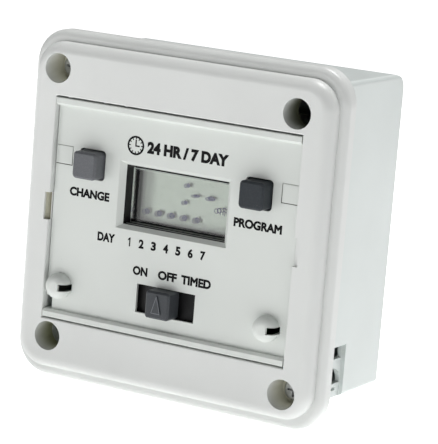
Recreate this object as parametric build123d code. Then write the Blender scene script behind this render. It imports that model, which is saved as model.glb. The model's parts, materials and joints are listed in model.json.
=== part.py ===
from build123d import *
import os

# Rail-mounted timer module in a surface enclosure. Millimetres, +X right, +Y to the back, +Z up.
# The origin is the centre of the rear face, which lies on the wall. Depths are counted from the
# front of the cover's raised plate, which lies at y = FRONT.

# Driving dimensions: enclosure
TOTAL_DEPTH = 47.8
FRONT = -TOTAL_DEPTH
LIP_SIZE = 90.0
LIP_RADIUS = 9.0
LIP_FRONT = 3.9
COVER_DEPTH = 8.0
RIM_FRONT = 3.0
PLATE_WIDTH = 85.6
PLATE_HEIGHT = 84.2
PLATE_RADIUS = 7.5
PLATE_ROUNDING = 2.9
COVER_SKIN = 2.4
BODY_WIDTH = 76.3
BODY_HEIGHT = 81.0
BODY_RADIUS = 1.2
RIM_RADIUS = 4.5
TOP_BACK_ROUNDING = 4.2
BACK_ROUNDING = 1.0
WALL = 2.2
ENTRY_BACK = 28.2
ARCH_RADIUS = 4.2
ARCH_FOOT = -37.0

# Driving dimensions: corner holes
FIXING_X = 33.3
FIXING_Z = 33.5
COVER_SCREW_AT = 35.5
WELL_RADIUS = 3.8
WELL_OUTSIDE = 4.95
WELL_START = 30.0
FIXING_HOLE_RADIUS = 2.2
COVER_SCREW_SEAT = 8.2
COVER_SCREW_RADIUS = 1.5
COVER_SCREW_LENGTH = 12.5
POST_RADIUS = 4.2
POST_FRONT = 9.4
POST_BACK = 24.0
THREAD_GAP = 0.02

# Driving dimensions: mounting rail and clip
RAIL_LENGTH = 70.0
RAIL_HALF_HEIGHT = 17.5
RAIL_WEB_HALF = 13.5
RAIL_DEPTH = 7.5
RAIL_THICKNESS = 1.0
RAIL_SCREW_X = 27.0
CLIP_HALF_WIDTH = 9.0
CLIP_NOSE = -16.1
CLIP_SHOULDER = -17.75
CLIP_BOTTOM = -30.5
CLIP_TAIL = -34.0
SPRING_FOOT = -26.9
SPRING_HEAD = -19.6

# Driving dimensions: timer module
MODULE_HALF_WIDTH = 35.2
MODULE_TOP = 28.2
MODULE_BOTTOM = -28.55
OPENING_HALF_WIDTH = 35.4
OPENING_TOP = MODULE_TOP + 0.44
OPENING_BOTTOM = MODULE_BOTTOM - 0.44
OPENING_ROUNDING = 0.35
NOTCH_WIDTH = 2.7
NOTCH_HEIGHT = 7.1
NOTCH_DEPTH = 1.3
TOP_RIBS = ((-31.7, 0.9), (-21.2, 0.8), (-15.0, 0.6))
FASCIA_FRONT = 1.6
FASCIA_BACK = 3.4
FASCIA_SKIN = 0.8
SKIN_BACK = FASCIA_FRONT + FASCIA_SKIN
SHELL_SPLIT = 13.6
MODULE_BACK = 36.0
MODULE_WALL = 1.6
RAIL_BACK = MODULE_BACK + RAIL_DEPTH
CLIP_FRONT = MODULE_BACK + 0.2
CLIP_NOSE_FRONT = MODULE_BACK + RAIL_THICKNESS + 0.15
CLIP_BACK = MODULE_BACK + 2.6
BAR_HEIGHT = 2.0
BAR_CHAMFER = 0.6
BAR_ROUNDING = 0.2
GAP = 0.15

# Driving dimensions: display
WINDOW_Z = 6.1
WINDOW_HALF_WIDTH = 14.8
WINDOW_HALF_HEIGHT = 7.6
WINDOW_BEVEL = 1.3
WINDOW_BEVEL_BACK = 3.0
HOLDER_TOP_LIP = 0.45
LENS_FRONT = 6.2
LENS_THICKNESS = 0.8
GLASS_FRONT = 8.0
GLASS_SHEET = 0.7
BOARD_FRONT = 12.0
BOARD_THICKNESS = 1.6

# Driving dimensions: keys and slider
LEFT_KEY_X = -24.3
RIGHT_KEY_X = 23.95
KEY_Z = 12.35
KEY_HOLE = 7.7
KEY_SIZE = 6.9
KEY_RISE = 4.1
KEY_CHAMFER = 0.55
KEY_FLANGE = 9.6
KEY_FLANGE_FRONT = SKIN_BACK + GAP
KEY_FLANGE_BACK = KEY_FLANGE_FRONT + 1.0
TACT_FRONT = 8.5
TACT_STEM = 0.6
KEY_TRAVEL = 0.8
SLIDER_Z = -19.3
SLOT_HALF_WIDTH = 8.5
SLOT_HALF_HEIGHT = 3.65
KNOB_WIDTH = 6.9
KNOB_HEIGHT = 7.0
KNOB_RISE = 4.1
KNOB_MARK_HALF_WIDTH = 1.35
KNOB_MARK_BOTTOM = -2.05
KNOB_MARK_TOP = 2.6
KNOB_MARK_RISE = 0.35
SHANK_WIDTH = 4.4
SHANK_HEIGHT = 3.6
SHANK_BACK = 7.2
SWITCH_FRONT = 7.6

# Driving dimensions: cover-flap sockets
LEFT_SOCKET_X = -31.2
RIGHT_SOCKET_X = 29.6
SOCKET_Z = -20.15
SOCKET_RADIUS = 3.3
SOCKET_RISE = 3.6
SOCKET_WALL = 0.8
SOCKET_SLOT_START = 1.2
SOCKET_SLOT_HEIGHT = 1.8

# Driving dimensions: power board and terminals
POWER_BOARD_FRONT = 27.0
TERMINAL_COUNT = 5
TERMINAL_PITCH = 9.2
TERMINAL_FRONT = 16.0
TERMINAL_BACK = 30.0
TERMINAL_Z = -33.0


def block(x0, x1, depth0, depth1, z0, z1):
    """A box between two limits on each axis, with its Y limits as depths."""
    centre = Pos((x0 + x1) / 2, FRONT + (depth0 + depth1) / 2, (z0 + z1) / 2)
    return centre * Box(x1 - x0, depth1 - depth0, z1 - z0)


def centred(x, z, width, height, depth0, depth1):
    """A box of one width and height about a point on the front."""
    return block(x - width / 2, x + width / 2, depth0, depth1, z - height / 2, z + height / 2)


def rod(x, z, radius, depth0, depth1):
    """A round bar along Y between two depths."""
    centre = Pos(x, FRONT + (depth0 + depth1) / 2, z)
    return centre * Rot(90, 0, 0) * Cylinder(radius, depth1 - depth0)


def slab(width, height, radius, depth0, depth1, x=0.0, z=0.0):
    """A rounded rectangle in the XZ plane, thickened along Y between two depths."""
    outline = Plane.XZ * RectangleRounded(width, height, radius)
    return Pos(x, FRONT + depth1, z) * extrude(outline, amount=depth1 - depth0)


def front_edges(part):
    """The edges of the face that lies furthest to the front."""
    return part.faces().sort_by(Axis.Y)[0].edges()


def back_edges(part):
    """The edges of the face that lies furthest to the back."""
    return part.faces().sort_by(Axis.Y)[-1].edges()


def frustum(x, z, wide, narrow, depth0, depth1):
    """A four-sided taper from a wide (width, height) at depth0 to a narrow one at depth1."""
    near = Plane((x, FRONT + depth0, z), x_dir=(1, 0, 0), z_dir=(0, -1, 0))
    far = Plane((x, FRONT + depth1, z), x_dir=(1, 0, 0), z_dir=(0, -1, 0))
    return loft([near * Rectangle(*wide), far * Rectangle(*narrow)])


def coil(radius, wire, height, turns):
    """A round-wire spring that stands on its first end, along +Z."""
    path = Helix(pitch=height / turns, height=height, radius=radius)
    start = Plane(origin=path @ 0, z_dir=path % 0)
    return sweep(start * Circle(wire), path=path)


# Enclosure ---------------------------------------------------------------------------------


def front_cover():
    lip = slab(LIP_SIZE, LIP_SIZE, LIP_RADIUS, LIP_FRONT, COVER_DEPTH)
    lip = fillet(front_edges(lip), 1.7)
    plate = slab(PLATE_WIDTH, PLATE_HEIGHT, PLATE_RADIUS, 0, LIP_FRONT + 1)
    plate = fillet(front_edges(plate), PLATE_ROUNDING)
    cover = lip + plate
    cover -= slab(BODY_WIDTH + 1.6, BODY_HEIGHT + 1.6, RIM_RADIUS, COVER_SKIN, COVER_DEPTH + 1)
    seat = COVER_SCREW_SEAT
    for side in (-1, 1):
        cover += rod(side * COVER_SCREW_AT, -side * COVER_SCREW_AT, 4.9, COVER_SKIN - 1, seat + 1.2)
        cover += rod(side * FIXING_X, side * FIXING_Z, WELL_OUTSIDE, COVER_SKIN - 1, COVER_DEPTH)
    cover -= block(-OPENING_HALF_WIDTH, OPENING_HALF_WIDTH, -1, COVER_DEPTH + 2,
                   OPENING_BOTTOM, OPENING_TOP)
    cover = fillet(opening_edges(cover), OPENING_ROUNDING)
    for x, width in TOP_RIBS:
        cover += centred(x, OPENING_TOP, width, 0.5, 0.7, COVER_SKIN)
    for side in (-1, 1):
        cover -= rod(side * COVER_SCREW_AT, -side * COVER_SCREW_AT, WELL_RADIUS, -1, seat)
        cover -= rod(side * COVER_SCREW_AT, -side * COVER_SCREW_AT, COVER_SCREW_RADIUS + 0.3, 0, 12)
        cover -= rod(side * FIXING_X, side * FIXING_Z, WELL_RADIUS, -1, 12)
        middle = side * (OPENING_HALF_WIDTH + 0.15)
        cover -= centred(middle, 0.05, NOTCH_WIDTH, NOTCH_HEIGHT, -1, NOTCH_DEPTH)
    return cover


def opening_edges(cover):
    """The four long edges of the opening on the front of the raised plate."""
    return [
        edge
        for edge in front_edges(cover)
        if abs(edge.center().X) < OPENING_HALF_WIDTH + 0.1
        and OPENING_BOTTOM - 0.1 < edge.center().Z < OPENING_TOP + 0.1
    ]


def rear_housing():
    shell = slab(BODY_WIDTH, BODY_HEIGHT, BODY_RADIUS, COVER_DEPTH, TOTAL_DEPTH) & back_profile()
    shell += slab(BODY_WIDTH, BODY_HEIGHT, RIM_RADIUS, RIM_FRONT, COVER_DEPTH + 1)
    shell -= slab(BODY_WIDTH - 2 * WALL, BODY_HEIGHT - 2 * WALL, RIM_RADIUS - WALL,
                  RIM_FRONT - 1, TOTAL_DEPTH - WALL)
    shell += corner_posts()
    for side in (-1, 1):
        shell += centred(side * RAIL_SCREW_X, 0, 9, 24, RAIL_BACK, TOTAL_DEPTH - WALL / 2)
    shell -= drilled_holes()
    return shell - cable_entry()


def back_profile():
    """The housing's outline from the side: its back edge is well rounded above, slightly below."""
    half = BODY_HEIGHT / 2
    solid = block(-BODY_WIDTH, BODY_WIDTH, 0, TOTAL_DEPTH, -half, half)
    edges = back_edges(solid).filter_by(Axis.X).sort_by(Axis.Z)
    solid = fillet(edges[-1], TOP_BACK_ROUNDING)
    edges = solid.edges().filter_by(Axis.X).group_by(Axis.Z)[0].sort_by(Axis.Y)
    return fillet(edges[-1], BACK_ROUNDING)


def corner_posts():
    """Two wells for the wall screws and two posts for the cover screws, cut to the outer wall."""
    posts = Part()
    for side in (-1, 1):
        posts += rod(side * FIXING_X, side * FIXING_Z, WELL_OUTSIDE, WELL_START, TOTAL_DEPTH - 1)
        posts += rod(side * COVER_SCREW_AT, -side * COVER_SCREW_AT, POST_RADIUS, POST_FRONT, POST_BACK)
    return posts & slab(BODY_WIDTH, BODY_HEIGHT, BODY_RADIUS, COVER_DEPTH, TOTAL_DEPTH)


def drilled_holes():
    """Clearances round the cover's tubes, and the holes for the wall, cover and rail screws."""
    holes = Part()
    for side in (-1, 1):
        well = (side * FIXING_X, side * FIXING_Z)
        screw_at = (side * COVER_SCREW_AT, -side * COVER_SCREW_AT)
        holes += rod(*well, WELL_OUTSIDE + 0.2, RIM_FRONT - 1, COVER_DEPTH + 0.2)
        holes += rod(*well, WELL_RADIUS, COVER_DEPTH - 1, TOTAL_DEPTH - WALL)
        holes += rod(*well, FIXING_HOLE_RADIUS, 40, TOTAL_DEPTH + 1)
        holes += rod(*screw_at, POST_RADIUS + 0.8, RIM_FRONT - 1, POST_FRONT + 0.1)
        holes += rod(*screw_at, COVER_SCREW_RADIUS + THREAD_GAP, POST_FRONT - 1, POST_BACK - 2)
        holes += rod(side * RAIL_SCREW_X, 0, COVER_SCREW_RADIUS + THREAD_GAP,
                     RAIL_BACK - 1, RAIL_BACK + 3.4)
    return holes


def cable_entry():
    """The recess low on the right wall, with a window and an arched cable hole in it."""
    wall_face = BODY_WIDTH / 2
    inside = wall_face - WALL - 0.5
    recess = block(wall_face - 1.1, wall_face + 1, 13, ENTRY_BACK + 0.1, -BODY_HEIGHT / 2 - 1, -26.9)
    window = block(inside, wall_face + 1, 19, ENTRY_BACK, -30.6, -27.4)
    arch = Pos(wall_face, FRONT + ENTRY_BACK - ARCH_RADIUS, ARCH_FOOT) * Rot(0, 90, 0)
    arch *= Cylinder(ARCH_RADIUS, 2 * (wall_face - inside))
    arch &= block(inside, wall_face, 13, ENTRY_BACK, ARCH_FOOT, ARCH_FOOT + ARCH_RADIUS + 1)
    foot = block(wall_face - 1.9, wall_face, 21, ENTRY_BACK - 2, ARCH_FOOT - 1.8, ARCH_FOOT - 0.9)
    return recess + window + arch + foot


def screw(x, z, seat, length, head_radius=2.8, head_height=1.6, shank=COVER_SCREW_RADIUS):
    """A pan-head cross-slotted screw whose head sits on a seat at one depth."""
    head = rod(x, z, head_radius, seat - head_height, seat)
    head = fillet(front_edges(head), head_height * 0.45)
    body = head + rod(x, z, shank, seat - 0.1, seat + length)
    slot = head_radius * 1.2
    body -= centred(x, z, slot, 0.6, seat - head_height - 1, seat - 0.6)
    body -= centred(x, z, 0.6, slot, seat - head_height - 1, seat - 0.6)
    return body


def cover_screws():
    return [
        screw(side * COVER_SCREW_AT, -side * COVER_SCREW_AT, COVER_SCREW_SEAT, COVER_SCREW_LENGTH)
        for side in (-1, 1)
    ]


def mounting_rail():
    """A short length of 35 mm top-hat rail, with its flanges to the front."""
    web_front = RAIL_BACK - RAIL_THICKNESS
    flange_back = MODULE_BACK + RAIL_THICKNESS
    inner = RAIL_WEB_HALF - RAIL_THICKNESS
    half = RAIL_LENGTH / 2
    rail = block(-half, half, web_front, RAIL_BACK, -RAIL_WEB_HALF, RAIL_WEB_HALF)
    for side in (-1, 1):
        low, high = sorted((side * inner, side * RAIL_WEB_HALF))
        rail += block(-half, half, MODULE_BACK, RAIL_BACK, low, high)
        low, high = sorted((side * inner, side * RAIL_HALF_HEIGHT))
        rail += block(-half, half, MODULE_BACK, flange_back, low, high)
    corners = [e for e in rail.edges().filter_by(Axis.X) if abs(abs(e.center().Z) - RAIL_WEB_HALF) < 0.01]
    rail = fillet(corners, 0.8 * RAIL_THICKNESS)
    for side in (-1, 1):
        rail -= rod(side * RAIL_SCREW_X, 0, 1.8, web_front - 1, RAIL_BACK + 1)
    for x in (-12, 0, 12):
        rail -= slab(7.5, 4.2, 2.09, web_front - 1, RAIL_BACK + 1, x)
    return rail


def rail_screws():
    seat = RAIL_BACK - RAIL_THICKNESS
    return [screw(side * RAIL_SCREW_X, 0, seat, 4) for side in (-1, 1)]


def rail_clip():
    """The sliding clip whose nose holds the rail's lower flange, with a tail to pull it down."""
    clip = block(-CLIP_HALF_WIDTH, CLIP_HALF_WIDTH, CLIP_FRONT, CLIP_BACK, CLIP_BOTTOM, CLIP_SHOULDER)
    nose = block(-CLIP_HALF_WIDTH, CLIP_HALF_WIDTH, CLIP_NOSE_FRONT, CLIP_BACK, CLIP_SHOULDER - 1, CLIP_NOSE)
    edge = nose.faces().sort_by(Axis.Z)[-1].edges().sort_by(Axis.Y)[-1]
    clip += chamfer(edge, 1.0)
    clip += block(-5, 5, CLIP_FRONT, CLIP_BACK, CLIP_TAIL, CLIP_BOTTOM + 1)
    clip -= block(-2.6, 2.6, CLIP_FRONT - 1, CLIP_BACK + 1, SPRING_FOOT - 1.7, SPRING_HEAD)
    return clip - block(-2.5, 2.5, CLIP_FRONT - 1, CLIP_BACK + 1, CLIP_TAIL + 0.9, CLIP_TAIL + 2.4)


def rail_clip_spring():
    radius, wire = 0.88, 0.2
    height = SPRING_HEAD - SPRING_FOOT - 2 * wire
    middle = FRONT + (CLIP_FRONT + CLIP_BACK) / 2
    return Pos(0, middle, SPRING_FOOT + wire) * coil(radius, wire, height, 7)


# Timer module ------------------------------------------------------------------------------


def module_outline(depth0, depth1):
    """The module's whole width and height between two depths."""
    middle = (MODULE_TOP + MODULE_BOTTOM) / 2
    return slab(2 * MODULE_HALF_WIDTH, MODULE_TOP - MODULE_BOTTOM, 0.5, depth0, depth1, 0, middle)


def module_hollow(depth0, depth1):
    """The space inside the module's walls between two depths."""
    half_width = MODULE_HALF_WIDTH - MODULE_WALL
    return block(-half_width, half_width, depth0, depth1,
                 MODULE_BOTTOM + MODULE_WALL, MODULE_TOP - MODULE_WALL)


def timer_fascia():
    plate = module_outline(FASCIA_FRONT, SHELL_SPLIT) - module_hollow(FASCIA_BACK, SHELL_SPLIT + 1)
    for side in (-1, 1):
        plate += raised_bar(side)
        plate -= key_patch(side)
    for x in (LEFT_SOCKET_X, RIGHT_SOCKET_X):
        plate += flap_socket(x)
        plate -= socket_hollow(x)
    for x in (LEFT_KEY_X, RIGHT_KEY_X):
        plate -= slab(KEY_HOLE, KEY_HOLE, 1.0, 0, SKIN_BACK + 0.1, x, KEY_Z)
        plate -= centred(x, KEY_Z, KEY_FLANGE + 0.4, KEY_FLANGE + 0.4, SKIN_BACK, FASCIA_BACK + 0.1)
    plate -= window_opening()
    plate -= slider_slot()
    wall_inside = -MODULE_HALF_WIDTH + MODULE_WALL
    latch_slot = block(-MODULE_HALF_WIDTH - 1, wall_inside + 0.1, 0, 9, MODULE_BOTTOM + BAR_HEIGHT, -23.2)
    return plate - latch_slot


def raised_bar(side):
    """One of the bars along the fascia's top and bottom, with its inner edge sloped."""
    outer = MODULE_TOP if side > 0 else MODULE_BOTTOM
    inner = outer - side * BAR_HEIGHT
    bar = block(-MODULE_HALF_WIDTH, MODULE_HALF_WIDTH, 0, FASCIA_FRONT + 0.5,
                min(outer, inner), max(outer, inner))
    inner_edge = bar.faces().sort_by(Axis.Y)[0].edges().sort_by(Axis.Z)[0 if side > 0 else -1]
    bar = chamfer(inner_edge, BAR_CHAMFER)
    outer_edge = bar.faces().sort_by(Axis.Y)[0].edges().sort_by(Axis.Z)[-1 if side > 0 else 0]
    return fillet(outer_edge, BAR_ROUNDING)


def slider_slot():
    """The slot that the mode knob slides in, with a relief behind its thin edge."""
    width, height = 2 * SLOT_HALF_WIDTH, 2 * SLOT_HALF_HEIGHT
    slot = centred(0, SLIDER_Z, width, height, 0, SKIN_BACK + 0.1)
    return slot + centred(0, SLIDER_Z, width + 2.4, height + 1.6, SKIN_BACK, FASCIA_BACK + 0.1)


def flap_socket(x):
    """A domed boss that takes one hinge pin of a clear flap."""
    boss = rod(x, SOCKET_Z, SOCKET_RADIUS, FASCIA_FRONT - SOCKET_RISE, FASCIA_FRONT + 0.5)
    return fillet(front_edges(boss), 0.7 * SOCKET_RADIUS)


def socket_hollow(x):
    """The hollow of one socket, open to the back, and the slot that its pin enters by."""
    inside = SOCKET_RADIUS - SOCKET_WALL
    hollow = rod(x, SOCKET_Z, inside, FASCIA_FRONT - SOCKET_RISE + SOCKET_WALL, FASCIA_BACK + 0.1)
    hollow = fillet(front_edges(hollow), 0.6 * inside)
    slot_half = SOCKET_SLOT_HEIGHT / 2
    slot = block(x + SOCKET_SLOT_START, x + SOCKET_RADIUS + 0.05, FASCIA_FRONT - SOCKET_RISE - 1,
                 FASCIA_BACK, SOCKET_Z - slot_half, SOCKET_Z + slot_half)
    return hollow + slot


def key_patch(side):
    """The thin engraved outline between a key and the fascia's edge."""
    outline = Part()
    near, far = 30.2, MODULE_HALF_WIDTH + 1
    low, high = 11.1, 16.1
    line, cut = 0.22, 0.2
    x0, x1 = sorted((side * near, side * far))
    outline += block(x0, x1, 0, FASCIA_FRONT + cut, low, low + line)
    outline += block(x0, x1, 0, FASCIA_FRONT + cut, high - line, high)
    a, b = sorted((side * near, side * (near + line)))
    return outline + block(a, b, 0, FASCIA_FRONT + cut, low, high)


def window_opening():
    """The bevelled display window, with a step behind it for the holder's snout."""
    wide = (2 * (WINDOW_HALF_WIDTH + WINDOW_BEVEL), 2 * (WINDOW_HALF_HEIGHT + WINDOW_BEVEL - 0.3))
    narrow = (2 * WINDOW_HALF_WIDTH, 2 * WINDOW_HALF_HEIGHT)
    bevel = frustum(0, WINDOW_Z, wide, narrow, FASCIA_FRONT, WINDOW_BEVEL_BACK)
    step = centred(0, WINDOW_Z, narrow[0] + 1.0, narrow[1] + 1.0, WINDOW_BEVEL_BACK, FASCIA_BACK + 0.1)
    return bevel + step


def module_base():
    base = module_outline(SHELL_SPLIT, MODULE_BACK)
    base -= module_hollow(SHELL_SPLIT - 1, MODULE_BACK - MODULE_WALL)
    for side in (-1, 1):
        for x in (-30, 30):
            base += rod(x, side * 23, 2.4, POWER_BOARD_FRONT + BOARD_THICKNESS, MODULE_BACK - 1)
            base -= rod(x, side * 23, 1.02, 20, MODULE_BACK - 2)
        base += clip_guide(side)
    return base + rail_hook() + block(-2.2, 2.2, MODULE_BACK - 0.5, CLIP_BACK, SPRING_FOOT - 1.3, SPRING_FOOT)


def rail_hook():
    """The fixed hooks that go behind the rail's upper flange."""
    hooks = Part()
    low, high = RAIL_HALF_HEIGHT + GAP, RAIL_HALF_HEIGHT + 3
    for x in (-24, 0, 24):
        hooks += block(x - 5, x + 5, MODULE_BACK - 0.5, CLIP_BACK + 0.2, low, high)
        hooks += block(x - 5, x + 5, CLIP_NOSE_FRONT, CLIP_BACK + 0.2, low - 1.4, high)
    return hooks


def clip_guide(side):
    """One of the two L-shaped guides that the rail clip slides in."""
    inside, lip, outside = CLIP_HALF_WIDTH + GAP, CLIP_HALF_WIDTH - 2, CLIP_HALF_WIDTH + 2.5
    low, high = sorted((side * inside, side * outside))
    guide = block(low, high, MODULE_BACK - 0.5, CLIP_BACK + 1, -28, -19)
    low, high = sorted((side * lip, side * outside))
    return guide + block(low, high, CLIP_BACK + GAP, CLIP_BACK + 1, -28, -19)


def window_lens():
    half, low, high = holder_opening()
    return block(-half + 0.05, half - 0.05, LENS_FRONT, LENS_FRONT + LENS_THICKNESS, low + 0.05, high - 0.05)


def holder_opening():
    """Half the width of the opening in the display holder, and its lower and upper edge."""
    low = WINDOW_Z - WINDOW_HALF_HEIGHT
    high = WINDOW_Z + WINDOW_HALF_HEIGHT - HOLDER_TOP_LIP
    return WINDOW_HALF_WIDTH, low, high


def lcd_glass():
    """Two bonded glass sheets, the rear one taller for its contact ledges."""
    middle = GLASS_FRONT + GLASS_SHEET
    front = centred(0, WINDOW_Z, 33.0, 16.4, GLASS_FRONT, middle)
    return front + centred(0, WINDOW_Z, 33.0, 18.8, middle, middle + GLASS_SHEET)


def lcd_reflector():
    back = GLASS_FRONT + 2 * GLASS_SHEET
    return centred(0, WINDOW_Z, 32.4, 15.4, back, back + 0.2)


def lcd_holder():
    """The black frame that carries the lens and the glass in front of the board."""
    width, height = 2 * WINDOW_HALF_WIDTH, 2 * WINDOW_HALF_HEIGHT
    holder = centred(0, WINDOW_Z, 37.0, 22.4, FASCIA_BACK, BOARD_FRONT)
    holder += centred(0, WINDOW_Z, width + 0.9, height + 0.9, WINDOW_BEVEL_BACK, FASCIA_BACK + 1)
    half, low, high = holder_opening()
    holder -= block(-half, half, 0, GLASS_FRONT + 1, low, high)
    return holder - centred(0, WINDOW_Z, 33.2, 19.0, GLASS_FRONT, BOARD_FRONT + 1)


def contact_strips():
    """Two elastomer strips between the glass ledges and the board."""
    return [
        centred(0, WINDOW_Z + side * 8.6, 30, 1.4, GLASS_FRONT + 2 * GLASS_SHEET, BOARD_FRONT)
        for side in (-1, 1)
    ]


def display_board():
    board = centred(0, 0, 66, 52.6, BOARD_FRONT, BOARD_FRONT + BOARD_THICKNESS)
    for x in (-30, 30):
        for z in (-23, 23):
            board -= rod(x, z, 1.6, BOARD_FRONT - 1, BOARD_FRONT + 3)
    return board


def timer_chip():
    """A flat package on the board's back, with leads on two sides."""
    back = BOARD_FRONT + BOARD_THICKNESS
    chip = centred(-8, 4, 10, 10, back + 0.15, back + 1.7)
    for i in range(10):
        x = -8 - 4.05 + 0.9 * i
        chip += centred(x, 4, 0.4, 13, back, back + 0.5)
    return chip


def crystal():
    back = BOARD_FRONT + BOARD_THICKNESS
    can = Pos(8, FRONT + back + 1.1, 6) * Rot(0, 90, 0) * Cylinder(1.0, 6)
    return can + block(4.4, 5.2, back, back + 1.2, 5.7, 6.3)


def tact_switch(x):
    """The body of one tact switch under a key."""
    body = centred(x, KEY_Z, 6, 6, TACT_FRONT, BOARD_FRONT)
    return chamfer(front_edges(body), 0.4)


def tact_stem(x):
    return rod(x, KEY_Z, 1.7, TACT_FRONT - TACT_STEM, TACT_FRONT)


def key(x):
    """A square bevelled cap with the flange that keeps it behind the fascia."""
    cap = slab(KEY_SIZE, KEY_SIZE, 1.1, FASCIA_FRONT - KEY_RISE, KEY_FLANGE_FRONT, x, KEY_Z)
    cap = chamfer(front_edges(cap), KEY_CHAMFER)
    cap += slab(KEY_FLANGE, KEY_FLANGE, 1.2, KEY_FLANGE_FRONT, KEY_FLANGE_BACK, x, KEY_Z)
    stem_end = TACT_FRONT - TACT_STEM - KEY_TRAVEL - 0.05
    return cap + rod(x, KEY_Z, 1.5, KEY_FLANGE_BACK - 0.1, stem_end)


def key_spring(x):
    """The return spring between a key's flange and its tact switch."""
    wire = 0.16
    height = TACT_FRONT - KEY_FLANGE_BACK - 2 * wire
    spring = coil(2.35, wire, height, 4.5)
    return Pos(x, FRONT + TACT_FRONT - wire, KEY_Z) * Rot(90, 0, 0) * spring


def mode_knob():
    """The slider's finger piece, its shank and the fork that drives the switch."""
    knob_front = FASCIA_FRONT - KNOB_RISE
    knob = slab(KNOB_WIDTH, KNOB_HEIGHT, 0.8, knob_front, SKIN_BACK, 0, SLIDER_Z)
    knob = chamfer(front_edges(knob), 0.5)
    knob += centred(0, SLIDER_Z, SHANK_WIDTH, SHANK_HEIGHT, SKIN_BACK - 0.1, SHANK_BACK)
    outline = Plane.XZ * Polygon(
        (-KNOB_MARK_HALF_WIDTH, SLIDER_Z + KNOB_MARK_BOTTOM),
        (KNOB_MARK_HALF_WIDTH, SLIDER_Z + KNOB_MARK_BOTTOM),
        (0, SLIDER_Z + KNOB_MARK_TOP),
        align=None,
    )
    return knob + Pos(0, FRONT + knob_front + 0.1, 0) * extrude(outline, amount=KNOB_MARK_RISE + 0.1)


def slider_shutter():
    """The black plate that closes the slot behind the knob at every position."""
    plate = centred(0, SLIDER_Z, 28, 9.6, FASCIA_BACK + GAP, FASCIA_BACK + GAP + 0.8)
    return plate - centred(0, SLIDER_Z, SHANK_WIDTH + 0.04, SHANK_HEIGHT + 0.04, FASCIA_BACK, FASCIA_BACK + 2)


def slide_switch_body():
    body = centred(0, SLIDER_Z, 22, 8.4, SWITCH_FRONT, BOARD_FRONT)
    return body - centred(0, SLIDER_Z, 16, 3.2, SWITCH_FRONT - 1, SWITCH_FRONT + 2.6)


def slide_switch_actuator():
    return centred(0, SLIDER_Z, 4.6, 2.9, SHANK_BACK, SWITCH_FRONT + 2.4)


# Power electronics -------------------------------------------------------------------------


def power_board():
    board = centred(0, 0, 65, 52, POWER_BOARD_FRONT, POWER_BOARD_FRONT + BOARD_THICKNESS)
    for x in (-30, 30):
        for z in (-23, 23):
            board -= rod(x, z, 1.2, POWER_BOARD_FRONT - 1, POWER_BOARD_FRONT + 3)
    return board


def board_screws():
    screws = []
    for x in (-30, 30):
        for z in (-23, 23):
            screws.append(screw(x, z, POWER_BOARD_FRONT, 6, 1.9, 1.1, 1.0))
    return screws


def board_header():
    """The pin header that joins the two boards."""
    back = BOARD_FRONT + BOARD_THICKNESS
    header = centred(0, 22.6, 20.4, 2.5, POWER_BOARD_FRONT - 2.5, POWER_BOARD_FRONT)
    for i in range(8):
        header += centred(-8.89 + 2.54 * i, 22.6, 0.64, 0.64, back, POWER_BOARD_FRONT - 2)
    return header


def relay():
    body = block(8, 27, 15, POWER_BOARD_FRONT, -14, -3)
    return fillet(front_edges(body), 0.6)


def backup_cell():
    cell = rod(-19, -12, 7.8, 20.6, POWER_BOARD_FRONT)
    cell = fillet(front_edges(cell), 0.8)
    return cell + rod(-19, -12, 5.2, 20.2, 20.8)


def dropper_capacitor():
    body = block(-26, -8, 16.5, POWER_BOARD_FRONT, 5, 13)
    return fillet(front_edges(body), 1.0)


def smoothing_capacitor():
    can = rod(14, 10, 4.0, 16, POWER_BOARD_FRONT)
    return fillet(front_edges(can), 0.5)


def varistor():
    disc = Pos(26, FRONT + 21.4, 8) * Rot(0, 90, 0) * Cylinder(5.0, 3.6)
    for z in (4.5, 11.5):
        disc += centred(26, z, 0.7, 0.7, 22, POWER_BOARD_FRONT)
    return disc


def fuse_resistor():
    body = Pos(-1, FRONT + 24.4, -18) * Rot(0, 90, 0) * Cylinder(1.9, 10)
    for x in (-7, 5):
        body += centred(x, -18, 0.7, 0.7, 24, POWER_BOARD_FRONT)
    return body + block(-7.35, 5.35, 24.05, 24.75, -18.35, -17.65)


def terminal_places():
    first = -(TERMINAL_COUNT - 1) / 2 * TERMINAL_PITCH
    return [first + i * TERMINAL_PITCH for i in range(TERMINAL_COUNT)]


def terminal_block():
    """The moulded block below the module, with a screw well and a wire hole per terminal."""
    z_top = MODULE_BOTTOM - 0.05
    z_low = -37.9
    half = TERMINAL_COUNT * TERMINAL_PITCH / 2
    body = block(-half, half, TERMINAL_FRONT, TERMINAL_BACK, z_low, z_top)
    for x in terminal_places():
        body -= rod(x, TERMINAL_Z, 2.45, TERMINAL_FRONT - 1, TERMINAL_FRONT + 5)
        body -= centred(x, TERMINAL_Z, 6.5, 6.5, TERMINAL_FRONT + 4.9, TERMINAL_FRONT + 11.6)
        body -= centred(x, z_low, 4.2, 8, TERMINAL_FRONT + 6.2, TERMINAL_FRONT + 10.6)
    return body


def terminal_clamps():
    """A brass cage under each terminal screw, open towards the wire hole."""
    clamps = []
    for x in terminal_places():
        cage = centred(x, TERMINAL_Z, 6.3, 6.3, TERMINAL_FRONT + 5, TERMINAL_FRONT + 11.5)
        cage -= centred(x, TERMINAL_Z, 4.2, 8, TERMINAL_FRONT + 6.6, TERMINAL_FRONT + 10.4)
        cage -= rod(x, TERMINAL_Z, 1.55, TERMINAL_FRONT + 4, TERMINAL_FRONT + 7)
        clamps.append(cage)
    return clamps


def terminal_screws():
    return [
        screw(x, TERMINAL_Z, TERMINAL_FRONT + 4.6, 3.4, 2.3, 1.5, 1.5)
        for x in terminal_places()
    ]


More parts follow.
